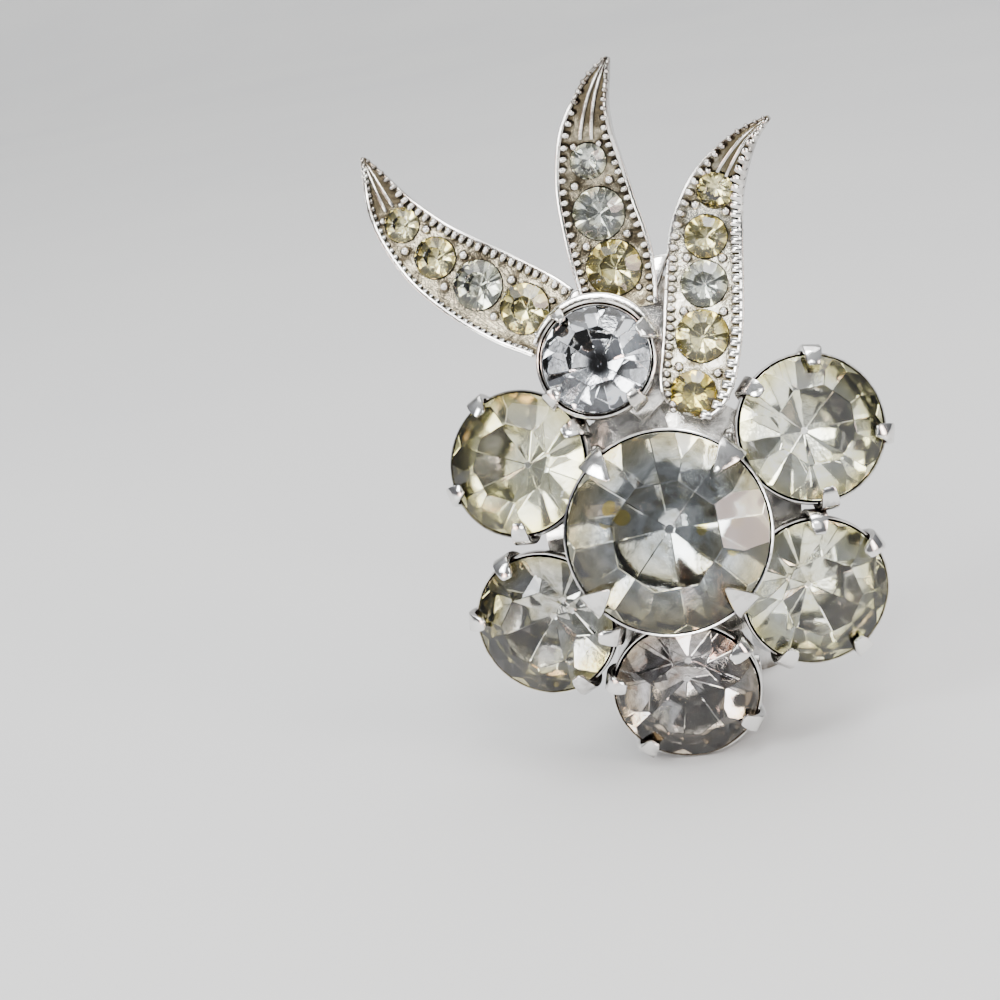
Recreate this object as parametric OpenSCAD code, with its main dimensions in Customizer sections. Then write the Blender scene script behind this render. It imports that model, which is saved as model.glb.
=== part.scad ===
// Clip-on earring: a flower of round glass stones under a spray of three pave leaves,
// propped on its open clip.
// Each piece is drawn face up, X across, Y up the earring and Z out of its face, and stood up at the end.
// All sizes are in millimetres.

/* [Stones] */
// Diameter of the centre stone
centre_d = 8.8; // [8.4:0.1:9.0]
// Diameter of each petal stone
petal_d = 6.4; // [6.0:0.1:6.5]
// Diameter of the stone in the collar where the leaves meet
collar_d = 4.7; // [4.4:0.1:4.9]
// Width of the table over the stone's diameter
table_ratio = 0.56; // [0.45:0.01:0.65]
// Slope of the crown above the girdle, in degrees
crown_slope = 34; // [28:1:38]
// Depth of the pavilion over the stone's diameter
pavilion_ratio = 0.40; // [0.36:0.01:0.42]

/* [Flower] */
// Outward tilt of each petal, in degrees
petal_tilt = 15; // [12:1:18]
// Height of the centre stone's girdle over the petals
centre_lift = 2.2; // [2.1:0.1:2.6]
// Radius of the stamped hub plate
hub_r = 5.9; // [5.6:0.1:6.2]
// Thickness of the hub plate
hub_t = 0.8; // [0.7:0.1:1.0]
// Height of the hub plate's front face
hub_top = -2.5; // [-2.6:0.1:-2.4]

/* [Settings] */
// Width of the cup's thin lip round a girdle
lip_t = 0.12; // [0.1:0.02:0.2]
// Wall of a stone cup
cup_wall = 0.3; // [0.25:0.05:0.4]
// Thickness of a prong
prong_t = 0.34; // [0.3:0.02:0.4]
// Space between a stone and its setting
stone_gap = 0.05; // [0.04:0.01:0.08]

/* [Leaves] */
// Depth of a leaf's side wall where the leaf is widest
leaf_depth = 1.35; // [1.2:0.05:1.5]
// Width of the raised rim along a leaf's edge
leaf_rim = 0.32; // [0.25:0.01:0.4]
// Height of the raised rim over the sunk field
leaf_rise = 0.34; // [0.25:0.01:0.4]
// Tilt of the collar stone up the earring, in degrees
collar_tilt = 12; // [5:1:15]
// Outside radius of the collar's bezel
bezel_r = 2.6; // [2.55:0.05:2.7]

/* [Clip] */
// Lean of the earring back on its open clip, in degrees
lean = 15; // [12:1:17]
// Thickness of the bracket plate
bracket_t = 0.8; // [0.7:0.1:1.0]
// Width of the hinge between the outer faces of its ears
hinge_w = 5.8; // [5.4:0.1:6.4]
// Radius of the hinge pin
pin_r = 0.5; // [0.4:0.05:0.6]
// Distance of the hinge pin behind the petals' plane
hinge_back = 6.2; // [6.1:0.1:6.5]
// Length of the paddle from the pin to its end
paddle_l = 15; // [13:0.5:17]
// Width of the paddle
paddle_w = 8.6; // [7.6:0.2:9.4]
// Height of the domed paddle from rim to crown
paddle_h = 2.2; // [1.8:0.1:2.4]
// Height of the pin's centre over the paddle's rim
pin_over_rim = 1.5; // [1.4:0.1:1.6]
// Wall of the paddle
paddle_wall = 0.55; // [0.45:0.05:0.7]

/* [Hidden] */

// Each petal: direction from the centre, distance from it, and the directions of its four prongs
PETALS = [
    [28.6, 7.60, [83, -11, -85, 141]],
    [329.5, 7.00, [84, 33, -121, -57]],
    [268.7, 7.40, [-31, 35, 165, -129]],
    [211.0, 7.15, [173, 116, -12, -62]],
    [150.0, 7.40, [119, -161, -91, 22]]
];
centre_prongs = [129, 46, -143, -49];
collar_prongs = [124, 23, -52, 216];
collar_at = [-2.13, 7.88, 2.2];

// Each leaf's spine from its base to its tip: across, up, forward, and half the leaf's width there
LEFT_LEAF = [
    [-3.92, 9.72, 0.75, 1.74],
    [-4.60, 10.22, 0.70, 1.84],
    [-5.50, 10.78, 0.65, 1.90],
    [-6.70, 11.60, 0.55, 1.88],
    [-7.90, 12.50, 0.40, 1.76],
    [-9.00, 13.50, 0.30, 1.58],
    [-9.95, 14.70, 0.30, 1.30],
    [-10.60, 15.80, 0.30, 1.00],
    [-11.05, 16.95, 0.35, 0.62],
    [-11.50, 18.20, 0.40, 0.10]
];
UP_LEAF = [
    [-0.84, 9.90, 0.75, 1.60],
    [-0.90, 11.20, 0.70, 1.76],
    [-1.05, 12.60, 0.70, 1.82],
    [-1.28, 14.05, 0.80, 1.72],
    [-1.42, 15.50, 1.00, 1.60],
    [-1.42, 16.90, 1.35, 1.34],
    [-1.30, 17.80, 1.60, 1.12],
    [-0.95, 18.90, 1.90, 0.76],
    [-0.45, 19.85, 2.20, 0.44],
    [0.02, 20.50, 2.40, 0.10]
];
RIGHT_LEAF = [
    [1.45, 4.95, 1.40, 0.70],
    [1.68, 5.45, 1.35, 1.32],
    [1.98, 6.30, 1.25, 1.62],
    [2.28, 7.30, 1.10, 1.70],
    [2.57, 8.60, 1.00, 1.74],
    [2.80, 10.10, 0.90, 1.72],
    [3.15, 12.40, 0.85, 1.62],
    [3.58, 13.85, 1.00, 1.40],
    [4.05, 14.80, 1.30, 1.14],
    [4.75, 15.70, 1.80, 0.78],
    [5.50, 16.40, 2.20, 0.42],
    [6.40, 16.95, 2.50, 0.10]
];
// Each leaf's stones from its base to its tip: place in rows along the spine, and diameter
LEFT_STONES = [[1.60, 2.24], [3.30, 2.24], [4.86, 1.86], [6.28, 1.56]];
UP_STONES = [[1.40, 2.42], [3.09, 2.26], [4.66, 1.56]];
RIGHT_STONES = [[1.50, 1.98], [3.76, 2.28], [5.19, 2.00], [6.06, 1.84], [7.58, 1.56]];
// Outline of the web that joins the leaves' roots behind the collar
WEB = [[-5.0, 8.9], [-4.2, 10.5], [-2.7, 10.9], [-1.9, 11.5],
    [0.9, 11.6], [2.4, 10.6], [2.4, 7.2], [-2.1, 6.4]];
web_back = -0.25;
web_t = 0.7;
stone_rise = 0.12;
spine_steps = 2;
bead_r = 0.24;

// Each setting's prongs: reach over the stone, width at the root, width at the tip, and height of the root
PETAL_PRONG = [0.62, 0.78, 0.50, -0.9];
CENTRE_PRONG = [0.95, 1.25, 0.22, -0.5];
COLLAR_PRONG = [0.42, 0.70, 0.42, -0.8];
petal_foot_r = 1.1;
centre_foot_r = 1.5;
centre_base_r = 1.7;
centre_line_r = 0.22;
centre_line_drop = 1.25;

hub_lobe_at = 6.4;
hub_lobe_r = 1.7;
tongue_r = 1.5;
FLUTES_AT = [3.1, 3.95];
flute_r = 0.34;
flute_l = 3.2;
flute_from = 0.8;
peg_r = 0.8;
post_r = 1.1;
post_l = 2.7;
post_head_r = 0.75;
post_head_h = 0.35;

rivet_at = [3.54, -0.15];
rivet_r = 0.45;
rivet_head_r = 0.62;
rivet_head_h = 0.34;
rivet_back_h = 0.28;
ear_t = 0.6;
ear_r = 1.2;
spring_t = 0.25;
spring_bend = 0.38;
pin_end = 0.25;
knuckle_r = 1.05;
knuckle_play = 0.1;
arm_t = 0.7;
arm_under = 0.8;
pad_near = 2.4;
pad_corner = 1.5;
layer_gap = 0.02;
fine = 96;
round = 32;

petal_lip_r = petal_d / 2 + stone_gap + lip_t;
bracket_front = hub_top - hub_t - layer_gap;
bracket_back = bracket_front - bracket_t;
spring_front = bracket_back - layer_gap;
spring_back = spring_front - spring_t;
dome_r = (paddle_w * paddle_w / 4 + paddle_h * paddle_h) / (2 * paddle_h);
dome_sink = paddle_h - dome_r;
// Height of a face-up point once the earring stands and leans, with its lowest lip at zero
floor_drop = PETALS[2][1] * cos(lean) + petal_lip_r * cos(petal_tilt - lean);
hinge_up = (pin_over_rim - floor_drop + hinge_back * sin(lean)) / cos(lean);
// Middle of the footprint, across and from front to back
footprint_x = -0.70;
footprint_y = 7.43;

function half_girdle(d) = 0.03 + 0.015 * d;
function crown_h(d) = half_girdle(d) + d / 2 * (1 - table_ratio) * tan(crown_slope);
function pavilion_h(d) = half_girdle(d) + pavilion_ratio * d;
function culet_r(d) = 0.05 * d;
function unit(a) = a / norm(a);

// A smooth curve through four neighbouring rows
function blend(a, b, c, d, t) =
    0.5 * (2 * b + (c - a) * t + (2 * a - 5 * b + 4 * c - d) * t * t + (3 * b - a - 3 * c + d) * t * t * t);
function spine(rows, s) =
    let (last = len(rows) - 1, i = min(floor(s), last - 1))
    blend(rows[max(i - 1, 0)], rows[i], rows[i + 1], rows[min(i + 2, last)], s - i);
function spine_place(rows, s) = let (p = spine(rows, s)) [p[0], p[1], p[2]];
function spine_along(rows, s) =
    let (last = len(rows) - 1, a = max(s - 0.1, 0), b = min(s + 0.1, last))
    unit(spine_place(rows, b) - spine_place(rows, a));
// Across, along and out of the leaf's face at a place on its spine
function spine_axes(rows, s) =
    let (along = spine_along(rows, s), out = unit([0, 0, 1] - along * along[2]))
    [cross(along, out), along, out];

// A leaf's cross-section for half its width: across and out, from the right of its back round to the left
function leaf_section(half) =
    let (rim = min(leaf_rim, 0.38 * half), rise = leaf_rise * min(1, 0.3 + half),
        depth = leaf_depth * (0.45 + 0.55 * min(1, half / 1.6)), back = 0.82 * half)
    [[back, -depth], [half, -0.35 * depth], [half, 0.7 * rise], [half - 0.25 * rim, rise],
    [half - 0.75 * rim, rise], [half - rim, 0.2 * rise], [0.5 * half, 0],
    [-0.5 * half, 0], [rim - half, 0.2 * rise], [0.75 * rim - half, rise],
    [0.25 * rim - half, rise], [-half, 0.7 * rise], [-half, -0.35 * depth], [-back, -depth]];
function ring_points(rows, s) =
    let (axes = spine_axes(rows, s), p = spine_place(rows, s))
    [for (q = leaf_section(max(spine(rows, s)[3], 0.08))) p + axes[0] * q[0] + axes[2] * q[1]];

// Faces between two rings of equal length in a list of rings
function band_faces(n, i) =
    [for (j = [0 : n - 1]) let (k = (j + 1) % n) [i * n + j, i * n + k, (i + 1) * n + k, (i + 1) * n + j]];

// Carries its children to a place on a leaf, lifted off the sunk field
module on_leaf(rows, s, across = 0, lift = 0) {
    axes = spine_axes(rows, s);
    p = spine_place(rows, s) + axes[0] * across + axes[2] * lift;
    multmatrix([
        [axes[0][0], axes[1][0], axes[2][0], p[0]],
        [axes[0][1], axes[1][1], axes[2][1], p[1]],
        [axes[0][2], axes[1][2], axes[2][2], p[2]]
    ]) children();
}

// A leaf starts a little behind its first row, and is cut off square there
module leaf_body(rows) {
    root = [for (q = ring_points(rows, 0)) q - 0.4 * spine_along(rows, 0)];
    last = (len(rows) - 1) * spine_steps;
    rings = concat([root], [for (i = [0 : last]) ring_points(rows, i / spine_steps)]);
    n = len(root);
    sides = [for (i = [0 : last]) each [for (f = band_faces(n, i)) each
        [[f[0], f[1], f[2]], [f[0], f[2], f[3]]]]];
    base = [for (j = [n - 1 : -1 : 0]) j];
    tip = [for (j = [0 : n - 1]) (last + 1) * n + j];
    difference() {
        polyhedron([for (ring = rings) each ring], concat(sides, [base, tip]), convexity = 6);
        on_leaf(rows, 0) translate([-4, -2.95, -4]) cube([8, 3, 8]);
    }
}

// A round stone with its girdle at zero: an eight-sided table, 24 crown and 24 pavilion facets, and a culet
module cut_stone(d) {
    r = d / 2;
    g = half_girdle(d);
    table = [for (i = [0 : 7]) [table_ratio * r * cos(45 * i + 22.5), table_ratio * r * sin(45 * i + 22.5),
        crown_h(d)]];
    upper = [for (j = [0 : 15]) [r * cos(22.5 * j), r * sin(22.5 * j), g]];
    lower = [for (j = [0 : 15]) [r * cos(22.5 * j), r * sin(22.5 * j), -g]];
    culet = [for (i = [0 : 7]) [culet_r(d) * cos(45 * i + 22.5), culet_r(d) * sin(45 * i + 22.5),
        -pavilion_h(d)]];
    crown_faces = [for (i = [0 : 7]) each
        let (t = i, t2 = (i + 1) % 8, a = 8 + 2 * i, b = a + 1, c = 8 + (2 * i + 2) % 16)
        [[t, b, a], [t, c, b], [t2, c, t]]];
    girdle_faces = [for (j = [0 : 15]) let (k = (j + 1) % 16) [8 + j, 8 + k, 24 + k, 24 + j]];
    pavilion_faces = [for (i = [0 : 7]) each
        let (t = 40 + i, t2 = 40 + (i + 1) % 8, a = 24 + 2 * i, b = a + 1, c = 24 + (2 * i + 2) % 16)
        [[t, a, b], [t, b, c], [t2, t, c]]];
    polyhedron(concat(table, upper, lower, culet),
        concat([[for (i = [7 : -1 : 0]) i]], crown_faces, girdle_faces, pavilion_faces,
            [[for (i = [0 : 7]) 40 + i]]), convexity = 4);
}

// The space cut out of a setting for a stone: a cone under the girdle and a straight bore above it
module seat(d, above) {
    g = half_girdle(d);
    drop = pavilion_h(d) - g;
    translate([0, 0, -g - drop - 2 * stone_gap])
        cylinder(h = drop + stone_gap, r1 = culet_r(d) + stone_gap, r2 = d / 2, $fn = fine);
    translate([0, 0, -g - stone_gap]) cylinder(h = above + g + stone_gap, r = d / 2 + stone_gap, $fn = fine);
}

// A stone's cup: a thin lip round the girdle over a cone that follows the pavilion down to a small foot
module cup(d, foot_r) {
    r = d / 2;
    g = half_girdle(d);
    lip = r + stone_gap + lip_t;
    bottom = -pavilion_h(d) - 2 * stone_gap - cup_wall;
    difference() {
        rotate_extrude($fn = fine)
            polygon([[0, bottom], [foot_r, bottom], [lip - 0.28, -g - 0.75], [lip - 0.1, -g - 0.52],
                [lip, -g - 0.48], [lip, 0.02], [0, 0.02]]);
        seat(d, 1);
    }
}

// A prong that rises outside the lip and folds over the crown, as wide at its root as at its knee
module prong(d, sizes) {
    reach = sizes[0];
    root_w = sizes[1];
    tip_w = sizes[2];
    root_z = sizes[3];
    r = d / 2;
    g = half_girdle(d);
    near = r + stone_gap + 0.02;
    far = near + prong_t;
    rise = tan(crown_slope);
    tip_z = g + reach * rise + stone_gap;
    intersection() {
        rotate([90, 0, 0])
            translate([0, 0, -root_w])
            linear_extrude(2 * root_w)
            polygon([[near, root_z], [far, root_z + 0.1], [far, g + 0.05], [far - 0.12, g + 0.34],
                [near - 0.1, g + 0.52], [r - reach, tip_z + 0.72 * prong_t],
                [r - reach, tip_z], [near, g + stone_gap]]);
        translate([0, 0, root_z - 1])
            linear_extrude(crown_h(d) + 4)
            polygon([[far + 0.1, -root_w / 2], [far + 0.1, root_w / 2], [r - 0.1, root_w / 2],
                [r - reach - 0.02, tip_w / 2], [r - reach - 0.02, -tip_w / 2], [r - 0.1, -root_w / 2]]);
    }
}

module at_petal(i) {
    angle = PETALS[i][0];
    translate([PETALS[i][1] * cos(angle), PETALS[i][1] * sin(angle), 0])
        rotate([0, 0, angle])
        rotate([0, petal_tilt, 0])
        rotate([0, 0, -angle])
        children();
}

module at_collar() {
    translate(collar_at) rotate([-collar_tilt, 0, 0]) children();
}

// Stands the face-up earring on its lowest lip and leans it back on the open clip
module stand() {
    translate([-footprint_x, -footprint_y, floor_drop]) rotate([90 - lean, 0, 0]) children();
}

module petal_setting(i) {
    at_petal(i) {
        cup(petal_d, petal_foot_r);
        for (a = PETALS[i][2]) rotate([0, 0, a]) prong(petal_d, PETAL_PRONG);
    }
}

module hub_outline() {
    circle(r = hub_r, $fn = fine);
    for (p = PETALS) rotate([0, 0, p[0]]) translate([hub_lobe_at, 0]) circle(r = hub_lobe_r, $fn = fine);
    // The tongue under the collar
    reach = norm([collar_at[0], collar_at[1]]);
    rotate([0, 0, atan2(-collar_at[0], collar_at[1])]) {
        translate([-tongue_r, 0]) square([2 * tongue_r, reach]);
        translate([0, reach]) circle(r = tongue_r, $fn = fine);
    }
}

module hub_plate() {
    translate([0, 0, hub_top - hub_t]) linear_extrude(hub_t) hub_outline();
    // Two rounded flutes on each side of the hub, above the rivets
    for (side = [-1, 1], x = FLUTES_AT)
        translate([side * x, flute_from, hub_top])
        rotate([-90, 0, 0])
        cylinder(h = flute_l, r = flute_r, $fn = round);
}

// A hole through the hub plate
module hub_hole(x, y, r) {
    translate([x, y, hub_top - hub_t - 1]) cylinder(h = hub_t + 2, r = r + stone_gap, $fn = fine);
}

module flower_frame() {
    color("silver") stand() difference() {
        union() {
            hub_plate();
            for (i = [0 : len(PETALS) - 1]) petal_setting(i);
        }
        for (side = [-1, 1]) hub_hole(side * rivet_at[0], rivet_at[1], rivet_r);
        hub_hole(0, 0, peg_r);
        hub_hole(collar_at[0], collar_at[1], rivet_r);
    }
}

// The raised centre cup has a second rim line under its lip, a foot on the hub and a peg through it
module centre_cup() {
    foot_z = hub_top + layer_gap;
    foot_h = centre_lift - pavilion_h(centre_d) - cup_wall - foot_z;
    color("silver") stand() union() {
        translate([0, 0, centre_lift]) {
            difference() {
                union() {
                    cup(centre_d, centre_foot_r);
                    translate([0, 0, -centre_line_drop])
                        rotate_extrude($fn = fine)
                        translate([centre_d / 2 - 0.7, 0])
                        circle(r = centre_line_r, $fn = round);
                }
                seat(centre_d, 1);
            }
            for (a = centre_prongs) rotate([0, 0, a]) prong(centre_d, CENTRE_PRONG);
        }
        translate([0, 0, foot_z]) cylinder(h = foot_h, r = centre_base_r, $fn = fine);
        translate([0, 0, hub_top - hub_t]) cylinder(h = hub_t + 0.3, r = peg_r, $fn = fine);
    }
}

module leaf_seats(rows, stones) {
    for (s = stones) on_leaf(rows, s[0], 0, stone_rise) seat(s[1], 1.5);
}

// Two small beads of metal in the corners between neighbouring stones hold both
module leaf_beads(rows, stones) {
    for (i = [0 : len(stones) - 2]) {
        along = (stones[i][0] * stones[i + 1][1] + stones[i + 1][0] * stones[i][1])
            / (stones[i][1] + stones[i + 1][1]);
        across = 0.2 * (stones[i][1] + stones[i + 1][1]);
        for (side = [-1, 1]) on_leaf(rows, along, side * across, 0.1) sphere(r = bead_r, $fn = round);
    }
}

// The collar's bezel is a thick round block, with a groove under its rim and a seat cut down into it
module collar_bezel() {
    rotate_extrude($fn = fine)
        polygon([[0, -2.35], [2.3, -2.35], [bezel_r - 0.05, -0.75], [bezel_r - 0.12, -0.6], [bezel_r, -0.45],
            [bezel_r, 0.08], [bezel_r - 0.08, 0.16], [0, 0.16]]);
    for (a = collar_prongs) rotate([0, 0, a]) prong(collar_d, COLLAR_PRONG);
}

module leaf_spray() {
    post_z = hub_top + layer_gap;
    color("silver") stand() difference() {
        union() {
            for (rows = [LEFT_LEAF, UP_LEAF, RIGHT_LEAF]) leaf_body(rows);
            leaf_beads(LEFT_LEAF, LEFT_STONES);
            leaf_beads(UP_LEAF, UP_STONES);
            leaf_beads(RIGHT_LEAF, RIGHT_STONES);
            at_collar() collar_bezel();
            // Web behind the leaves' roots
            translate([0, 0, web_back]) linear_extrude(web_t) polygon(WEB);
            // The post stands on the hub, and its riveted end goes through
            translate([collar_at[0], collar_at[1], post_z]) cylinder(h = post_l, r = post_r, $fn = fine);
            translate([collar_at[0], collar_at[1], hub_top - hub_t - 0.3])
                cylinder(h = hub_t + 0.6, r = rivet_r, $fn = fine);
            translate([collar_at[0], collar_at[1], hub_top - hub_t - layer_gap - post_head_h])
                cylinder(h = post_head_h, r = post_head_r, $fn = fine);
        }
        at_collar() seat(collar_d, 1.5);
        leaf_seats(LEFT_LEAF, LEFT_STONES);
        leaf_seats(UP_LEAF, UP_STONES);
        leaf_seats(RIGHT_LEAF, RIGHT_STONES);
    }
}

module centre_stone() {
    color("lightgray") stand() translate([0, 0, centre_lift]) rotate([0, 0, 4]) cut_stone(centre_d);
}

module collar_stone() {
    color("aliceblue") stand() at_collar() rotate([0, 0, 9]) cut_stone(collar_d);
}

module petal_stone(i) {
    color("beige") stand() at_petal(i) rotate([0, 0, 17 * i]) cut_stone(petal_d);
}

module leaf_stone(rows, stones, i) {
    color(rows == RIGHT_LEAF && i == 0 ? "goldenrod" : "khaki")
        stand() on_leaf(rows, stones[i][0], 0, stone_rise) rotate([0, 0, 13 * i]) cut_stone(stones[i][1]);
}

module bracket_outline() {
    half = hinge_w / 2;
    polygon([[-4.5, 1.3], [-4.5, -1.6], [-half, -3.2], [-half, hinge_up - 0.2],
        [half, hinge_up - 0.2], [half, -3.2], [4.5, -1.6], [4.5, 1.3], [3.2, 2.6], [-3.2, 2.6]]);
}

// One ear: a plate that runs back from the bracket and ends in a round about the pin
module ear() {
    linear_extrude(ear_t) union() {
        translate([-hinge_back, hinge_up]) circle(r = ear_r, $fn = fine);
        polygon([[bracket_back + 0.2, hinge_up - 0.2], [bracket_back + 0.2, hinge_up + 3.2],
            [-hinge_back - 0.6, hinge_up + 1.03], [-hinge_back, hinge_up], [-hinge_back, hinge_up - 1.19],
            [-hinge_back + 0.4, hinge_up - 1.13]]);
    }
}

module clip_bracket() {
    color("gainsboro") stand() difference() {
        union() {
            translate([0, 0, bracket_back]) linear_extrude(bracket_t) bracket_outline();
            for (x = [-hinge_w / 2, hinge_w / 2 - ear_t]) translate([x, 0, 0]) multmatrix([
                [0, 0, 1, 0],
                [0, 1, 0, 0],
                [1, 0, 0, 0]
            ]) ear();
        }
        for (side = [-1, 1])
            translate([side * rivet_at[0], rivet_at[1], bracket_back - 1])
            cylinder(h = bracket_t + 2, r = rivet_r + stone_gap, $fn = fine);
        translate([-hinge_w, hinge_up, -hinge_back])
            rotate([0, 90, 0])
            cylinder(h = 2 * hinge_w, r = pin_r + layer_gap, $fn = fine);
    }
}

// The flat spring is riveted under the bracket, and its free end stops just short of the paddle's knuckle
module clip_spring() {
    color("darkgray") stand() difference() {
        union() {
            translate([-4.3, rivet_at[1] - 0.8, spring_back]) cube([8.6, 1.6, spring_t]);
            rotate([90, 0, 90])
                translate([0, 0, -1.5])
                linear_extrude(3)
                polygon([[rivet_at[1], spring_front], [-2.4, spring_front],
                    [hinge_up + 1.0, spring_front - spring_bend],
                    [hinge_up + 0.95, spring_back - spring_bend],
                    [-2.45, spring_back], [rivet_at[1], spring_back]]);
        }
        for (side = [-1, 1])
            translate([side * rivet_at[0], rivet_at[1], spring_back - 1])
            cylinder(h = spring_t + 2, r = rivet_r + stone_gap, $fn = fine);
    }
}

module clip_rivet(side) {
    front = hub_top + layer_gap;
    back = spring_back - layer_gap;
    color("white") stand() translate([side * rivet_at[0], rivet_at[1], 0]) {
        translate([0, 0, back - 0.1]) cylinder(h = front - back + 0.2, r = rivet_r, $fn = fine);
        translate([0, 0, front]) cylinder(h = rivet_head_h, r1 = rivet_head_r, r2 = 0.4, $fn = fine);
        translate([0, 0, back - rivet_back_h])
            cylinder(h = rivet_back_h, r1 = rivet_r, r2 = rivet_head_r, $fn = fine);
    }
}

module hinge_pin() {
    color("white") stand() translate([-hinge_w / 2 - pin_end, hinge_up, -hinge_back]) rotate([0, 90, 0])
        cylinder(h = hinge_w + 2 * pin_end, r = pin_r, $fn = fine);
}

// The pad's plan: a straight near end with two rounded corners, and wider than the dome past them
module pad_plan(half, near, corner) {
    side = half + 0.05;
    arc = [for (i = [0 : 5]) [cos(180 + 18 * i), sin(180 + 18 * i)]];
    left = [for (q = arc) [corner - side + corner * q[0], near + corner + corner * q[1]]];
    right = [for (i = [5 : -1 : 0]) [-left[i][0], left[i][1]]];
    polygon(concat([[-side, near + 2 * paddle_l]], left, right, [[side, near + 2 * paddle_l]]));
}

// A dome that runs along the paddle and closes in a round far end, taken in by a wall for its hollow
module pad_dome(wall, bottom) {
    far = paddle_l - paddle_w / 2;
    near = pad_near + wall;
    r = dome_r - wall;
    intersection() {
        translate([0, 0, bottom]) linear_extrude(paddle_h + 1)
            pad_plan(paddle_w / 2 - wall, near, pad_corner - wall);
        translate([0, far, dome_sink]) {
            rotate([90, 0, 0]) cylinder(h = far - near + 1, r = r, $fn = fine);
            difference() {
                sphere(r = r, $fn = fine);
                translate([-2 * r, -2 * r, -2 * r]) cube([4 * r, 2 * r, 4 * r]);
            }
        }
    }
}

// The paddle lies along Y from its pin, with its rim at zero height, before it is put on the hinge
module paddle_flat() {
    knuckle = hinge_w / 2 - ear_t - knuckle_play;
    difference() {
        union() {
            difference() {
                pad_dome(0, 0);
                pad_dome(paddle_wall, -1);
            }
            translate([-knuckle, 0, paddle_h - arm_under]) cube([2 * knuckle, pad_near + 0.3, arm_t]);
            translate([-knuckle, 0, pin_over_rim]) rotate([0, 90, 0])
                cylinder(h = 2 * knuckle, r = knuckle_r, $fn = fine);
        }
        translate([-hinge_w, 0, pin_over_rim]) rotate([0, 90, 0])
            cylinder(h = 2 * hinge_w, r = pin_r + stone_gap, $fn = fine);
    }
}

// The paddle is drawn where it stands: flat on the surface, straight back from the hinge
module clip_paddle() {
    hinge_y = hinge_up * sin(lean) + hinge_back * cos(lean);
    color("gainsboro") translate([-footprint_x, hinge_y - footprint_y, 0]) paddle_flat();
}

flower_frame();
centre_cup();
leaf_spray();
centre_stone();
collar_stone();
petal_stone(0);  // petal_stone_1
petal_stone(1);  // petal_stone_2
petal_stone(2);  // petal_stone_3
petal_stone(3);  // petal_stone_4
petal_stone(4);  // petal_stone_5
leaf_stone(LEFT_LEAF, LEFT_STONES, 0);  // left_leaf_stone_1
leaf_stone(LEFT_LEAF, LEFT_STONES, 1);  // left_leaf_stone_2
leaf_stone(LEFT_LEAF, LEFT_STONES, 2);  // left_leaf_stone_3
leaf_stone(LEFT_LEAF, LEFT_STONES, 3);  // left_leaf_stone_4
leaf_stone(UP_LEAF, UP_STONES, 0);  // up_leaf_stone_1
leaf_stone(UP_LEAF, UP_STONES, 1);  // up_leaf_stone_2
leaf_stone(UP_LEAF, UP_STONES, 2);  // up_leaf_stone_3
leaf_stone(RIGHT_LEAF, RIGHT_STONES, 0);  // right_leaf_stone_1
leaf_stone(RIGHT_LEAF, RIGHT_STONES, 1);  // right_leaf_stone_2
leaf_stone(RIGHT_LEAF, RIGHT_STONES, 2);  // right_leaf_stone_3
leaf_stone(RIGHT_LEAF, RIGHT_STONES, 3);  // right_leaf_stone_4
leaf_stone(RIGHT_LEAF, RIGHT_STONES, 4);  // right_leaf_stone_5
clip_bracket();
clip_spring();
clip_rivet(-1);  // clip_rivet_left
clip_rivet(1);  // clip_rivet_right
hinge_pin();
clip_paddle();
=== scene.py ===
"""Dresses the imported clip-on earring: foiled stones, cups and prongs, cast leaves and the clip."""

import math

import bpy
from mathutils import Matrix, Vector


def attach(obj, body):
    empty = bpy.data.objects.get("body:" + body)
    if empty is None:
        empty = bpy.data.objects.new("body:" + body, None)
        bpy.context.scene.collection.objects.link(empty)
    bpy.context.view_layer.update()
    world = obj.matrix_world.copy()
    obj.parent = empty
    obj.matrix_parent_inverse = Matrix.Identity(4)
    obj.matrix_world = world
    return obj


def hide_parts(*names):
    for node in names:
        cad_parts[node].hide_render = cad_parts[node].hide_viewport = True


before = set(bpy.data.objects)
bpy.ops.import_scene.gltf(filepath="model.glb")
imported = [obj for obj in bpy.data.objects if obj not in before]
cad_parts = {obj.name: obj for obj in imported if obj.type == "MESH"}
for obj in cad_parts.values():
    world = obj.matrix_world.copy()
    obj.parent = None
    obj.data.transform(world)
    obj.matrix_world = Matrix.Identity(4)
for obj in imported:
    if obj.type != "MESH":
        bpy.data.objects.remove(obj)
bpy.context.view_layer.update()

# Pieces are made face up in millimetres, as in the CAD, then stood up on the clip and scaled to metres
MILLIMETRE = Matrix.Scale(0.001, 4)
LEAN = math.radians(15)
FOOTPRINT = (-0.70, 7.43)
FLOOR_DROP = 10.518
STAND = (
    MILLIMETRE
    @ Matrix.Translation((-FOOTPRINT[0], -FOOTPRINT[1], FLOOR_DROP))
    @ Matrix.Rotation(math.radians(90) - LEAN, 4, "X")
)

# Petals: direction from the centre, distance, and the directions of the four prongs
PETALS = [
    (28.6, 7.60, (83, -11, -85, 141)),
    (329.5, 7.00, (84, 33, -121, -57)),
    (268.7, 7.40, (-31, 35, 165, -129)),
    (211.0, 7.15, (173, 116, -12, -62)),
    (150.0, 7.40, (119, -161, -91, 22)),
]
PETAL_TILT = math.radians(15)

# The centre: how far it is raised, and the directions of its claws
CENTRE_LIFT = 2.2
CENTRE_PRONGS = (129, 46, -143, -49)

# The collar where the leaves meet: its place and tilt, then each claw's direction and broadening
COLLAR_AT = Vector((-2.13, 7.88, 2.2))
COLLAR_TILT = math.radians(-12)
COLLAR_PRONGS = ((124, 0.8), (23, 1.5), (-52, 1.05), (216, 1.05))

# The large stones' diameters, every crown's slope, and the play of a small stone in its seat
PETAL_D, CENTRE_D, COLLAR_D = 6.4, 8.8, 4.7
CROWN_SLOPE = math.radians(34)
SEAT_PLAY = 0.07

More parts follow.
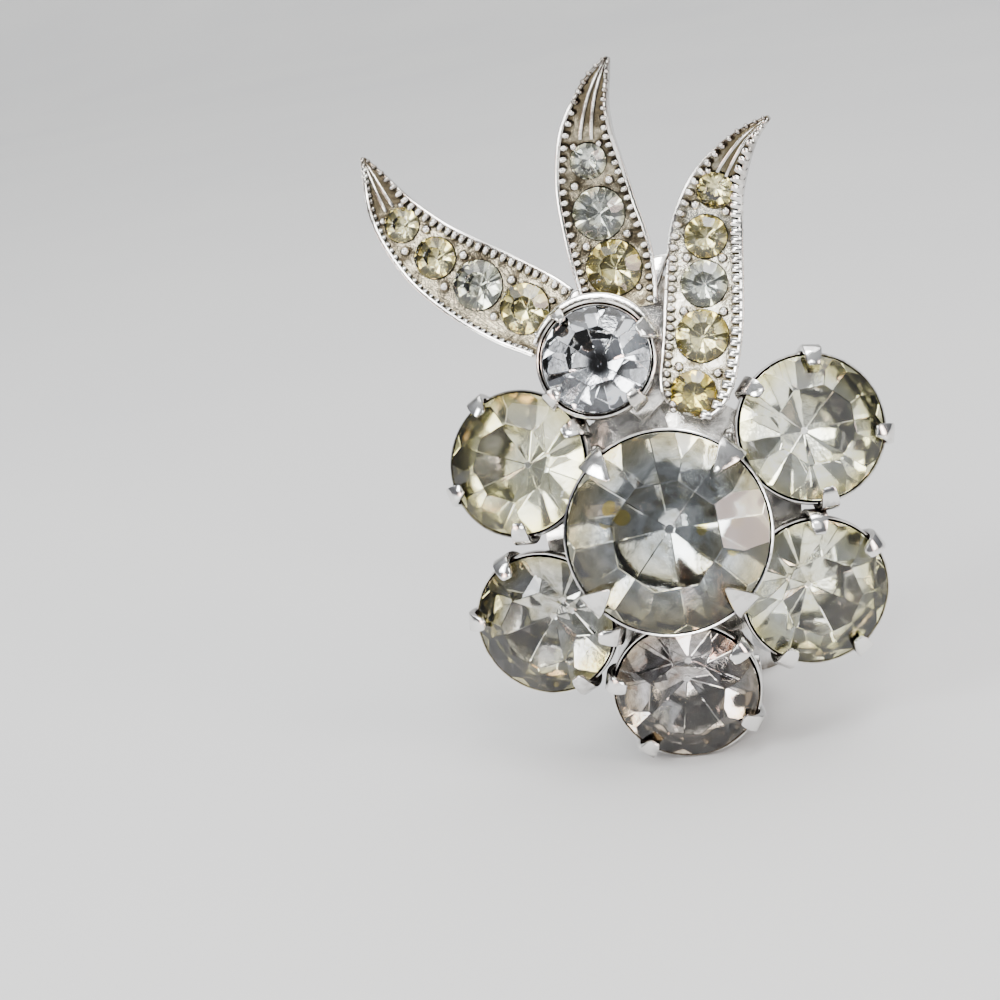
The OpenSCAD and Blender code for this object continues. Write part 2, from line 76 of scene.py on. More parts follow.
# How much the glass bends light, and how far up a face may point and still carry foil
GLASS_IOR = 1.58
FOILED_BELOW = 0.15

# The hub plate: its face, thickness and radius, then its lobes, its tongue and the flutes on its face
HUB_TOP, HUB_T, HUB_R = -2.5, 0.8, 5.9
LOBE_AT, LOBE_R, TONGUE_R = 6.4, 1.7, 1.5
FLUTES_AT, FLUTE_R, FLUTE_L, FLUTE_FROM = (-3.95, -3.1, 3.1, 3.95), 0.34, 3.2, 0.8

# The wells in the hub: their radius and lift, and how deep a petal stone's point lies for its diameter
WELL_R, WELL_LIFT, POINT_DEPTH = 0.9, 0.5, 0.42

# The leaf casting: its depth and its rim, the lift of its stones, and the beads that line and hold them
LEAF_DEPTH, LEAF_RIM, LEAF_RISE = 1.35, 0.18, 0.34
STONE_RISE = 0.12
GRAIN_PITCH, GRAIN_R = 0.44, 0.23
CLAW_R, END_CLAW_R, CLAW_LIFT = 0.23, 0.18, 0.10
NARROWEST_HALF = 0.1

# The paddle, drawn from its pin: length, width, height and wall, then its dome, knuckle and arm
PADDLE_AT = (0.70, -3.428, 0)
PADDLE_L, PADDLE_W, PADDLE_H, PADDLE_WALL = 15.0, 8.6, 2.2, 0.55
PAD_NEAR, PAD_CORNER, DOME_R = 2.4, 1.5, 5.302
PIN_UP, PIN_HOLE_R, KNUCKLE_R, KNUCKLE_L = 1.5, 0.55, 1.05, 4.4
ARM_LOW, ARM_T = 1.4, 0.7

# The petal stones: the colour of each, its slot, and how far it is turned in its cup
PETAL_STONES = [
    ("straw", "pale_glass", 4), ("straw", "pale_glass", 17), ("grey", "smoky_glass", 34),
    ("dim", "pale_glass", 12), ("pale", "pale_glass", 68),
]

# The edges, by leaf and side, whose milled teeth lie at the outline: their pitch and half their width
OPEN_EDGES = {("right_leaf", 1): (0.44, 0.28), ("left_leaf", -1): (0.30, 0.17)}

# The middle of the circle through the leaves' tips, and the distances from it over which they blacken
TIP_CIRCLE_AT = (-3.3, 7.05, 1.2)
TIP_TARNISH = (10.45, 12.45)

# Leaves from base to tip: across, up, forward and half the width
LEAVES = {
    "left_leaf": [
        (-3.92, 9.72, 0.75, 1.74), (-4.60, 10.22, 0.70, 1.84), (-5.50, 10.78, 0.65, 1.90),
        (-6.70, 11.60, 0.55, 1.88), (-7.90, 12.50, 0.40, 1.76), (-9.00, 13.50, 0.30, 1.58),
        (-9.95, 14.70, 0.30, 1.30), (-10.60, 15.80, 0.30, 1.00), (-11.05, 16.95, 0.35, 0.62),
        (-11.50, 18.20, 0.40, 0.10),
    ],
    "up_leaf": [
        (-0.84, 9.90, 0.75, 1.60), (-0.90, 11.20, 0.70, 1.76), (-1.05, 12.60, 0.70, 1.82),
        (-1.28, 14.05, 0.80, 1.72), (-1.42, 15.50, 1.00, 1.60), (-1.42, 16.90, 1.35, 1.34),
        (-1.30, 17.80, 1.60, 1.12), (-0.95, 18.90, 1.90, 0.76), (-0.45, 19.85, 2.20, 0.44),
        (0.02, 20.50, 2.40, 0.10),
    ],
    "right_leaf": [
        (1.45, 4.95, 1.40, 0.70), (1.68, 5.45, 1.35, 1.32), (1.98, 6.30, 1.25, 1.62),
        (2.28, 7.30, 1.10, 1.70), (2.57, 8.60, 1.00, 1.74), (2.80, 10.10, 0.90, 1.72),
        (3.15, 12.40, 0.85, 1.62), (3.58, 13.85, 1.00, 1.40), (4.05, 14.80, 1.30, 1.14),
        (4.75, 15.70, 1.80, 0.78), (5.50, 16.40, 2.20, 0.42), (6.40, 16.95, 2.50, 0.10),
    ],
}
# Stones of each leaf from base to tip: place in rows along the spine, diameter and colour
LEAF_STONES = {
    "left_leaf": [
        (1.60, 2.24, "khaki"), (3.30, 2.24, "cool"), (4.86, 1.86, "khaki"), (6.28, 1.56, "khaki"),
    ],
    "up_leaf": [(1.40, 2.42, "khaki"), (3.09, 2.26, "cool"), (4.66, 1.56, "cool")],
    "right_leaf": [
        (1.50, 1.98, "amber"), (3.76, 2.28, "khaki"), (5.19, 2.00, "cool"), (6.06, 1.84, "khaki"),
        (7.58, 1.56, "khaki"),
    ],
}


# Materials


def shader(name):
    material = bpy.data.materials.new(name)
    material.use_nodes = True
    return material, material.node_tree.nodes, material.node_tree.links


def millimetre_places(nodes, links):
    """Object coordinates counted in millimetres."""
    place = nodes.new("ShaderNodeTexCoord")
    scale = nodes.new("ShaderNodeMapping")
    scale.inputs["Scale"].default_value = (1000, 1000, 1000)
    links.new(place.outputs["Object"], scale.inputs["Vector"])
    return scale.outputs["Vector"]


def noise(nodes, links, places, scale, detail=3.0, roughness=0.5):
    grain = nodes.new("ShaderNodeTexNoise")
    grain.inputs["Scale"].default_value = scale
    grain.inputs["Detail"].default_value = detail
    grain.inputs["Roughness"].default_value = roughness
    links.new(places, grain.inputs["Vector"])
    return grain.outputs["Fac"]


def ramp(nodes, links, value, stops):
    band = nodes.new("ShaderNodeValToRGB")
    while len(band.color_ramp.elements) < len(stops):
        band.color_ramp.elements.new(0.5)
    for element, (place, colour) in zip(band.color_ramp.elements, stops):
        element.position = place
        element.color = (*colour, 1)
    links.new(value, band.inputs["Fac"])
    return band.outputs["Color"]


def mapped(nodes, links, value, low, high, to_low, to_high):
    """A value carried from one range to another."""
    change = nodes.new("ShaderNodeMapRange")
    change.inputs["From Min"].default_value = low
    change.inputs["From Max"].default_value = high
    change.inputs["To Min"].default_value = to_low
    change.inputs["To Max"].default_value = to_high
    links.new(value, change.inputs["Value"])
    return change.outputs["Result"]


def distance_from(nodes, links, places, spot):
    away = nodes.new("ShaderNodeVectorMath")
    away.operation = "DISTANCE"
    away.inputs[1].default_value = spot
    links.new(places, away.inputs[0])
    return away.outputs["Value"]


def combined(nodes, links, way, first, second):
    result = nodes.new("ShaderNodeMath")
    result.operation = way
    links.new(first, result.inputs[0])
    links.new(second, result.inputs[1])
    return result.outputs[0]


def uneven(nodes, links, body, height, strength, depth):
    """Roughens a surface by a pattern, to a depth in metres."""
    bump = nodes.new("ShaderNodeBump")
    bump.inputs["Strength"].default_value = strength
    bump.inputs["Distance"].default_value = depth
    links.new(height, bump.inputs["Height"])
    links.new(bump.outputs["Normal"], body.inputs["Normal"])


def plated_metal(name, bright, dark, wear=1.0, reach=0.0006, stretch=1.0, tips=0.0):
    """Polished plating, with painted shade where surfaces meet, tarnished at leaf tips, and brushed
    along X or not.
    """
    material, nodes, links = shader(name)
    body = nodes["Principled BSDF"]
    places = millimetre_places(nodes, links)
    body.inputs["Metallic"].default_value = 1.0
    # Ambient occlusion within reach darkens the colour where surfaces meet: painted shade.
    painted_recess_shade = nodes.new("ShaderNodeAmbientOcclusion")
    painted_recess_shade.inputs["Distance"].default_value = reach
    painted_recess_shade.samples = 4
    brushed = nodes.new("ShaderNodeMapping")
    brushed.inputs["Scale"].default_value = (stretch, 1, 1)
    links.new(places, brushed.inputs["Vector"])
    brushed = brushed.outputs["Vector"]
    patches = noise(nodes, links, places, 1.4, 6, 0.62)
    cloud = mapped(nodes, links, patches, 0.3, 0.7, -0.30 * wear, 0.25 * wear)
    clean_and_unshaded = combined(nodes, links, "ADD", cloud, painted_recess_shade.outputs["AO"])
    if tips:
        away = distance_from(nodes, links, places, STAND @ Vector(TIP_CIRCLE_AT) * 1000)
        blackened = mapped(nodes, links, away, *TIP_TARNISH, 0, tips)
        clean_and_unshaded = combined(nodes, links, "SUBTRACT", clean_and_unshaded, blackened)
    # The colour goes darker where tarnished or in painted shade, and bright where clean.
    links.new(ramp(nodes, links, clean_and_unshaded, [(0.35, dark), (0.95, bright)]), body.inputs["Base Color"])
    rubbing = noise(nodes, links, brushed, 6.0, 5, 0.6)
    links.new(mapped(nodes, links, rubbing, 0, 1, 0.04, 0.04 + 0.16 * wear), body.inputs["Roughness"])
    uneven(nodes, links, body, noise(nodes, links, brushed, 7.0, 4, 0.65), 0.10 * wear, 0.00005)
    return material


def cut_glass(name, tint):
    material, nodes, links = shader(name)
    body = nodes["Principled BSDF"]
    body.inputs["Base Color"].default_value = (*tint, 1)
    body.inputs["Transmission Weight"].default_value = 1.0
    body.inputs["IOR"].default_value = GLASS_IOR
    haze = noise(nodes, links, millimetre_places(nodes, links), 1.3, 3)
    links.new(mapped(nodes, links, haze, 0.50, 0.85, 0, 0.04), body.inputs["Roughness"])
    return material


def foil(name, bright, dull, spots, rim, gloss=0.06, heart=(1, 1, 1), stain=None):
    """The mirror foil on a stone's back: clouded with age, yellow at the rim, stained in one place, and
    with a painted dark reflection in its middle when the heart colour is dark.
    """
    material, nodes, links = shader(name)
    body = nodes["Principled BSDF"]
    places = millimetre_places(nodes, links)
    body.inputs["Metallic"].default_value = 1.0
    body.inputs["Roughness"].default_value = gloss
    cloud = noise(nodes, links, places, 0.9, 5, 0.6)
    tone = ramp(nodes, links, cloud, [(0.30, spots), (0.42, dull), (0.60, bright)])
    own_face = nodes.new("ShaderNodeTexCoord")
    radius = nodes.new("ShaderNodeVectorMath")
    radius.operation = "LENGTH"
    links.new(own_face.outputs["UV"], radius.inputs[0])
    # Yellow towards the rim from the foil's age; towards the middle, the heart colour paints a dark
    # reflection.
    rim_yellow_and_painted_middle = ramp(nodes, links, radius.outputs["Value"], [
        (0.16, heart), (0.32, (1, 1, 1)), (0.50, (1, 1, 1)), (0.92, rim),
    ])
    aged_and_painted_middle = nodes.new("ShaderNodeMix")
    aged_and_painted_middle.data_type = "RGBA"
    aged_and_painted_middle.blend_type = "MULTIPLY"
    aged_and_painted_middle.inputs["Factor"].default_value = 1.0
    links.new(tone, aged_and_painted_middle.inputs["A"])
    links.new(rim_yellow_and_painted_middle, aged_and_painted_middle.inputs["B"])
    links.new(aged_and_painted_middle.outputs["Result"], body.inputs["Base Color"])
    if stain:
        away = distance_from(nodes, links, own_face.outputs["UV"], (*stain, 0))
        spot = ramp(nodes, links, away, [(0.075, (1, 1, 1)), (0.09, (0, 0, 0))])
        stained = nodes.new("ShaderNodeMix")
        stained.data_type = "RGBA"
        stained.inputs["B"].default_value = (0.92, 0.80, 0.30, 1)
        links.new(spot, stained.inputs["Factor"])
        links.new(aged_and_painted_middle.outputs["Result"], stained.inputs["A"])
        links.new(stained.outputs["Result"], body.inputs["Base Color"])
    uneven(nodes, links, body, noise(nodes, links, places, 4.0, 3), 0.10, 0.00002)
    return material


PLATING = plated_metal("bright_plating", (0.86, 0.85, 0.83), (0.08, 0.06, 0.05))
# The hub's plating: a darker copy of the plating, with painted shade reaching far under the cups.
SHADED_HUB_PLATING = plated_metal("shaded_hub_plating", (0.66, 0.64, 0.60), (0.035, 0.03, 0.02), 1.2, 0.0016)
LEAF_PLATING = plated_metal(
    "leaf_plating", (0.86, 0.84, 0.80), (0.08, 0.06, 0.04), 1.2, 0.0004, tips=0.40,
)
LEAF_FIELD = plated_metal(
    "tarnished_field", (0.52, 0.46, 0.33), (0.05, 0.04, 0.025), 2.2, 0.0007, tips=0.90,
)
PALE_FIELD = plated_metal(
    "bright_field", (0.72, 0.69, 0.58), (0.09, 0.075, 0.045), 2.0, 0.0006, tips=0.80,
)
CLIP_PLATING = plated_metal("clip_plating", (0.76, 0.76, 0.75), (0.16, 0.14, 0.11), 1.2, 0.0008, 0.05)
STONES = {
    "smoky": (cut_glass("smoky_glass", (0.97, 0.98, 0.97)), foil(
        "smoky_foil", (0.88, 0.90, 0.91), (0.66, 0.68, 0.67), (0.50, 0.48, 0.38), (1.0, 0.90, 0.66),
        stain=(-0.43, 0.22))),
    "grey": (cut_glass("grey_glass", (0.96, 0.96, 0.96)), foil(
        "grey_foil", (0.78, 0.76, 0.76), (0.50, 0.48, 0.46), (0.40, 0.28, 0.22), (0.98, 0.88, 0.70))),
    "dim": (cut_glass("dim_glass", (0.98, 0.98, 0.97)), foil(
        "dim_foil", (0.84, 0.84, 0.82), (0.60, 0.60, 0.56), (0.46, 0.42, 0.30), (1.0, 0.92, 0.58))),
    "pale": (cut_glass("pale_glass", (0.98, 0.98, 0.95)), foil(
        "pale_foil", (0.94, 0.94, 0.84), (0.83, 0.82, 0.68), (0.60, 0.56, 0.40), (0.97, 0.92, 0.66),
        0.10)),
    "straw": (cut_glass("straw_glass", (0.99, 0.99, 0.97)), foil(
        "straw_foil", (0.98, 0.99, 0.94), (0.89, 0.89, 0.80), (0.70, 0.67, 0.50), (0.98, 0.94, 0.70),
        0.07)),
    # The clear foil's near-black heart is a painted dark reflection in the middle of the stone.
    "clear": (cut_glass("clear_glass", (0.98, 0.99, 1.0)), foil(
        "clear_foil", (0.96, 0.97, 0.98), (0.84, 0.85, 0.87), (0.50, 0.50, 0.50), (0.98, 0.98, 0.98),
        0.03, (0.02, 0.02, 0.022))),
    "khaki": (cut_glass("khaki_glass", (0.99, 0.98, 0.90)), foil(
        "khaki_foil", (0.92, 0.90, 0.72), (0.74, 0.70, 0.48), (0.42, 0.36, 0.20), (0.96, 0.90, 0.62))),
    "cool": (cut_glass("cool_glass", (0.97, 0.98, 0.96)), foil(
        "cool_foil", (0.90, 0.92, 0.90), (0.70, 0.71, 0.66), (0.44, 0.42, 0.34), (0.98, 0.94, 0.78))),
    "amber": (cut_glass("amber_glass", (0.98, 0.96, 0.76)), foil(
        "amber_foil", (0.80, 0.75, 0.46), (0.56, 0.51, 0.26), (0.32, 0.25, 0.10), (0.94, 0.86, 0.58))),
}


# Ways of working


def start(add, **settings):
    """Adds one primitive by itself, puts its place in its mesh, and opens it for shaping."""
    if bpy.context.object and bpy.context.object.mode == "EDIT":
        bpy.ops.object.mode_set(mode="OBJECT")
    bpy.ops.object.select_all(action="DESELECT")
    add(**settings)
    bpy.ops.object.transform_apply(location=True, rotation=True, scale=True)
    bpy.ops.object.mode_set(mode="EDIT")
    bpy.ops.mesh.select_mode(type="VERT")
    bpy.ops.mesh.select_all(action="SELECT")
    return bpy.context.object


def done(name):
    """Points the faces outwards, closes the piece and names it."""
    bpy.ops.mesh.select_all(action="SELECT")
    bpy.ops.mesh.normals_make_consistent(inside=False)
    bpy.ops.object.mode_set(mode="OBJECT")
    piece = bpy.context.object
    piece.name = piece.data.name = name
    return piece


def only(piece):
    bpy.ops.object.select_all(action="DESELECT")
    piece.select_set(True)
    bpy.context.view_layer.objects.active = piece


def pick_faces(piece, test):
    """Selects the faces whose centre and normal pass a test, and leaves the piece open for shaping."""
    if piece.mode == "EDIT":
        bpy.ops.object.mode_set(mode="OBJECT")
    only(piece)
    mesh = piece.data
    for part in (mesh.vertices, mesh.edges, mesh.polygons):
        part.foreach_set("select", [False] * len(part))
    for face in mesh.polygons:
        face.select = bool(test(face.center, face.normal))
    bpy.ops.object.mode_set(mode="EDIT")
    bpy.ops.mesh.select_mode(type="FACE")


def modifier(piece, kind, **settings):
    only(piece)
    change = piece.modifiers.new(kind.lower(), kind)
    for key, value in settings.items():
        setattr(change, key, value)
    bpy.ops.object.modifier_apply(modifier=change.name)
    return piece


def eased(piece, width=0.05, segments=2, angle=35):
    """Rounds the edges that are sharper than an angle."""
    return modifier(
        piece, "BEVEL",
        width=width, segments=segments, limit_method="ANGLE", angle_limit=math.radians(angle),
    )


def copied(piece, move):
    """A copy with its own mesh, moved by a matrix."""
    twin = piece.copy()
    twin.data = piece.data.copy()
    bpy.context.collection.objects.link(twin)
    twin.data.transform(move)
    return twin


def joined(pieces):
    bpy.ops.object.select_all(action="DESELECT")
    for piece in pieces:
        piece.select_set(True)
    bpy.context.view_layer.objects.active = pieces[0]
    if len(pieces) > 1:
        bpy.ops.object.join()
    return pieces[0]


def plated(pieces, material):
    """Gives a material to the pieces that have none yet."""
    for piece in pieces:
        if not piece.data.materials:
            piece.data.materials.append(material)
    return pieces


def drop(*pieces):
    for piece in pieces:
        bpy.data.objects.remove(piece)


def finished(piece, name, body, material=None, node=None, stand=STAND, smooth=35):
    """Shades a piece, stands it where it belongs, gives it its finish and body, and hides the CAD node
    it stands in for.
    """
    piece.name = piece.data.name = name
    if material:
        piece.data.materials.clear()
        piece.data.materials.append(material)
    only(piece)
    if smooth:
        bpy.ops.object.shade_smooth_by_angle(angle=math.radians(smooth))
    piece.data.transform(stand)
    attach(piece, body)
    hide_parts(node)
    return piece


def turned(name, outline, steps=72):
    """A shape turned about Z from an outline of radius and height, from the axis round to the axis."""
    start(bpy.ops.mesh.primitive_plane_add, size=1)
    bpy.ops.mesh.merge(type="CENTER")
    bpy.ops.transform.translate(value=(outline[0][0], 0, outline[0][1]))
    for (r0, z0), (r1, z1) in zip(outline, outline[1:]):
        bpy.ops.mesh.extrude_region_move(TRANSFORM_OT_translate={"value": (r1 - r0, 0, z1 - z0)})
    bpy.ops.mesh.select_all(action="SELECT")
    bpy.ops.mesh.spin(steps=steps, angle=math.tau, center=(0, 0, 0), axis=(0, 0, 1))
    bpy.ops.mesh.select_all(action="SELECT")
    bpy.ops.mesh.remove_doubles(threshold=0.0005)
    return done(name)


def bar(name, stations):
    """A straight bar along X, with stations of along, across, height, width and thickness."""
    x, y, z, wide, thick = stations[0]
    quarter = (0, math.radians(90), 0)
    start(bpy.ops.mesh.primitive_plane_add, size=1, location=(x, y, z), rotation=quarter)
    bpy.ops.transform.resize(value=(1, wide, thick), center_override=(x, y, z))
    for nx, ny, nz, nwide, nthick in stations[1:]:
        bpy.ops.mesh.extrude_region_move(TRANSFORM_OT_translate={"value": (nx - x, ny - y, nz - z)})
        spot = (nx, ny, nz)
        bpy.ops.transform.resize(value=(1, nwide / wide, nthick / thick), center_override=spot)
        x, y, z, wide, thick = nx, ny, nz, nwide, nthick
    return done(name)


def folded(name, stations):
    """A tab in the XZ plane, with stations of out, height, turn in degrees, thickness and width."""
    x, z, turn, thick, wide = stations[0]
    start(bpy.ops.mesh.primitive_plane_add, size=1, location=(x, 0, z))
    bpy.ops.transform.resize(value=(thick, wide, 1), center_override=(x, 0, z))
    for nx, nz, nturn, nthick, nwide in stations[1:]:
        bpy.ops.mesh.extrude_region_move(TRANSFORM_OT_translate={"value": (nx - x, 0, nz - z)})
        spot = (nx, 0, nz)
        bpy.ops.transform.rotate(value=math.radians(-turn), orient_axis="Y", center_override=spot)
        bpy.ops.transform.resize(value=(nthick / thick, nwide / wide, 1), center_override=spot)
        bpy.ops.transform.rotate(value=math.radians(nturn), orient_axis="Y", center_override=spot)
        x, z, turn, thick, wide = nx, nz, nturn, nthick, nwide
    return done(name)


def bent(piece, points):
    """Bends a straight bar onto a path of points, with its height kept upwards."""
    line = bpy.data.curves.new("guide", "CURVE")
    line.dimensions = "3D"
    line.twist_mode = "Z_UP"
    path = line.splines.new("POLY")
    path.points.add(len(points) - 1)
    for knot, point in zip(path.points, points):
        knot.co = (*point, 1)
    guide = bpy.data.objects.new("guide", line)
    bpy.context.collection.objects.link(guide)
    modifier(piece, "CURVE", object=guide, deform_axis="POS_X")
    bpy.data.objects.remove(guide)
    bpy.data.curves.remove(line)
    return piece


def plate(name, outline, low, high):
    """A flat plate sawn from a block, side by side, to an outline that bulges everywhere."""
    reach = 2 * max(abs(v) for point in outline for v in point) + 1
    middle = sum((Vector(point) for point in outline), Vector((0, 0))) / len(outline)
    start(
        bpy.ops.mesh.primitive_cube_add,
        size=1, location=(0, 0, (low + high) / 2), scale=(reach, reach, high - low),
    )
    for a, b in zip(outline, outline[1:] + outline[:1]):
        side = Vector(b) - Vector(a)
        out = Vector((side.y, -side.x))
        if out.dot(Vector(a) - middle) < 0:
            out = -out
        bpy.ops.mesh.select_all(action="SELECT")
        bpy.ops.mesh.bisect(plane_co=(*a, 0), plane_no=(*out, 0), use_fill=True, clear_outer=True)
    return done(name)


def petal_place(angle, distance):
    """Carries a petal from the centre to its place, tilted outwards."""
    turn = math.radians(angle)
    return (
        Matrix.Translation((distance * math.cos(turn), distance * math.sin(turn), 0))
        @ Matrix.Rotation(turn, 4, "Z")
        @ Matrix.Rotation(PETAL_TILT, 4, "Y")
        @ Matrix.Rotation(-turn, 4, "Z")
    )


def turn_z(degrees):
    return Matrix.Rotation(math.radians(degrees), 4, "Z")


COLLAR_PLACE = Matrix.Translation(COLLAR_AT) @ Matrix.Rotation(COLLAR_TILT, 4, "X")
CENTRE_PLACE = Matrix.Translation((0, 0, CENTRE_LIFT))


def blend(a, b, c, d, t):
    """A smooth curve through four neighbouring rows."""
    square, cube = 2 * a - 5 * b + 4 * c - d, 3 * b - a - 3 * c + d
    return 0.5 * (2 * b + (c - a) * t + square * t * t + cube * t**3)


def spine(rows, s):
    last = len(rows) - 1
    i = max(0, min(int(s), last - 1))
    near = [Vector(rows[max(0, min(last, k))]) for k in (i - 1, i, i + 1, i + 2)]
    return blend(*near, s - i)


def leaf_place(rows, s, across=0.0, lift=0.0):
    """A place on a leaf: across it, along it and out of its face."""
    last = len(rows) - 1
    here = spine(rows, s).to_3d()
    along = (spine(rows, min(s + 0.1, last)).to_3d() - spine(rows, max(s - 0.1, 0)).to_3d()).normalized()
    out = (Vector((0, 0, 1)) - along * along.z).normalized()
    side = along.cross(out)
    turn = Matrix((side, along, out)).transposed().to_4x4()
    return Matrix.Translation(here + side * across + out * lift) @ turn


def leaf_lengths(rows, steps):
    """The length along a leaf's spine at each step from its base to its tip."""
    spots = [spine(rows, i / steps).to_3d() for i in range((len(rows) - 1) * steps + 1)]
    lengths = [0.0]
    for a, b in zip(spots, spots[1:]):
        lengths.append(lengths[-1] + (b - a).length)
    return lengths


# Stones


def half_girdle(d):
    return 0.03 + 0.015 * d


def ground_stone(name, d, table=0.56, pavilion=0.40, mains=8):
    """Grinds a round blank flat by flat: the crown's mains and corners, then the back to its point."""
    r = d / 2
    girdle = half_girdle(d)
    height = girdle + r * (1 - table) * math.tan(CROWN_SLOPE)
    depth = girdle + pavilion * d
    piece = start(
        bpy.ops.mesh.primitive_cylinder_add,
        vertices=64, radius=r, depth=height + depth, location=(0, 0, (height - depth) / 2),
    )

    def grind(turn, slope, radius, z):
        """Grinds a flat of a given slope through a point at that radius and height."""
        out = (math.cos(turn) * math.sin(slope), math.sin(turn) * math.sin(slope), math.cos(slope))
        spot = (radius * math.cos(turn), radius * math.sin(turn), z)
        bpy.ops.mesh.select_all(action="SELECT")
        bpy.ops.mesh.bisect(
            plane_co=spot, plane_no=out, use_fill=True, clear_outer=True, threshold=0.00001,
        )

    step = math.tau / mains
    edge = table * r * math.cos(step / 2)
    main = math.atan2(height - girdle, r * 0.985 - edge)
    for i in range(mains):
        grind(step * i, main, edge, height)
    for i in range(mains):
        grind(step * (i + 0.5), main * 1.10, r * 1.012, girdle)
    back = math.pi - math.atan2(depth - girdle, r * 0.95)
    for i in range(mains):
        grind(step * (i + 0.5), back, r * 0.99, -girdle)
    for i in range(mains):
        grind(step * i, back - math.radians(12), r, -girdle)
    grind(0, math.pi, 0, 0.004 * d - depth)
    done(name)
    eased(piece, 0.006 + 0.0025 * d, 1, 9)
    own_face = piece.data.uv_layers.active.data
    for loop in piece.data.loops:
        spot = piece.data.vertices[loop.vertex_index].co
        own_face[loop.index].uv = (spot.x / r, spot.y / r)
    piece.data.materials.append(None)
    piece.data.materials.append(None)
    for face in piece.data.polygons:
        face.material_index = 1 if face.normal.z < FOILED_BELOW else 0
    return piece


def set_stone(blank, node, place, turn, kind):
    stone = copied(blank, place @ turn_z(turn))
    stone.data.materials[0], stone.data.materials[1] = STONES[kind]
    return finished(stone, node + "_cut", "flower", node=node, smooth=0)


def set_all_stones():
    centre = ground_stone("centre_blank", CENTRE_D)
    set_stone(centre, "centre_stone", CENTRE_PLACE, 4, "smoky")
    collar = ground_stone("collar_blank", COLLAR_D)
    set_stone(collar, "collar_stone", COLLAR_PLACE, 9, "clear")
    petal = ground_stone("petal_blank", PETAL_D)
    for number, (angle, distance, _) in enumerate(PETALS):
        kind, slot, turn = PETAL_STONES[number]
        set_stone(petal, f"petal_stone_{number + 1}", petal_place(angle, distance), turn, kind)
    drop(centre, collar, petal)
    for leaf_name, stones in LEAF_STONES.items():
        for number, (s, d, kind) in enumerate(stones):
            place = leaf_place(LEAVES[leaf_name], s, 0, STONE_RISE)
            slot = "amber_glass" if kind == "amber" else "khaki_glass"
            small = ground_stone("small_blank", d, table=0.50)
            set_stone(small, f"{leaf_name}_stone_{number + 1}", place, 13 * number, kind)
            drop(small)


# Flower


def petal_cup():
    """A thin-lipped cup that follows the back of a petal stone down to its foot."""
    return turned("petal_cup", [
        (0, -3.08), (1.02, -3.08), (1.10, -3.02), (1.32, -2.86), (3.00, -1.00), (3.08, -0.86),
        (3.14, -0.72), (3.30, -0.60), (3.36, -0.50), (3.375, -0.30), (3.37, 0.02), (3.345, 0.06),
        (3.30, 0.06), (3.262, 0.02), (3.255, -0.14), (2.92, -0.52), (0.45, -2.70), (0, -2.72),
    ])


def petal_prong():
    """A flat tab that climbs the cup's wall, stands up outside the lip and folds over the girdle."""
    return eased(folded("petal_prong", [
        (2.62, -1.42, 0, 0.20, 0.94), (3.06, -1.05, -46, 0.24, 0.92), (3.38, -0.72, -33, 0.27, 0.88),
        (3.50, -0.42, -13, 0.29, 0.85), (3.54, -0.10, 0, 0.30, 0.84), (3.53, 0.16, 16, 0.30, 0.84),
        (3.42, 0.42, 44, 0.29, 0.82), (3.18, 0.58, 62, 0.26, 0.76),
        (2.86, 0.69, 62, 0.22, 0.62), (2.70, 0.77, 62, 0.14, 0.42),
    ]), 0.05)


def centre_cup():
    """The raised cup: a stepped band and a line of wire under the lip, then its foot and peg."""
    return turned("centre_cup", [
        (0, -5.48), (0.80, -5.48), (0.80, -4.68), (1.70, -4.66), (1.74, -4.60), (1.74, -3.98),
        (1.56, -3.86), (3.62, -1.55), (3.66, -1.46), (3.80, -1.44), (3.90, -1.34), (3.92, -1.24),
        (3.88, -1.12), (3.78, -1.03), (3.74, -0.98), (4.10, -0.84), (4.26, -0.66), (4.42, -0.58),
        (4.52, -0.50), (4.575, -0.42), (4.58, -0.05), (4.57, 0.03), (4.53, 0.06), (4.48, 0.05),
        (4.455, 0.0), (4.45, -0.18), (4.00, -0.72), (0.60, -3.76), (0, -3.78),
    ])


def centre_prong():
    """A pointed claw that climbs from under the lip, folded flat down on the crown."""
    return eased(folded("centre_prong", [
        (4.04, -0.94, 0, 0.20, 0.98), (4.42, -0.70, -49, 0.24, 1.06), (4.64, -0.46, -28, 0.27, 1.16),
        (4.70, -0.18, -7, 0.28, 1.23), (4.70, 0.02, 0, 0.28, 1.26),
        (4.66, 0.22, 22, 0.27, 1.26), (4.50, 0.42, 50, 0.25, 1.20), (4.26, 0.58, 58, 0.22, 1.00),
        (3.72, 0.93, 58, 0.17, 0.48), (3.42, 1.12, 58, 0.10, 0.14),
    ]), 0.035)


def hub_disc(x, y, r, sides=64):
    start(
        bpy.ops.mesh.primitive_cylinder_add,
        vertices=sides, radius=r, depth=HUB_T, location=(x, y, HUB_TOP - HUB_T / 2),
    )
    return done("hub_disc")


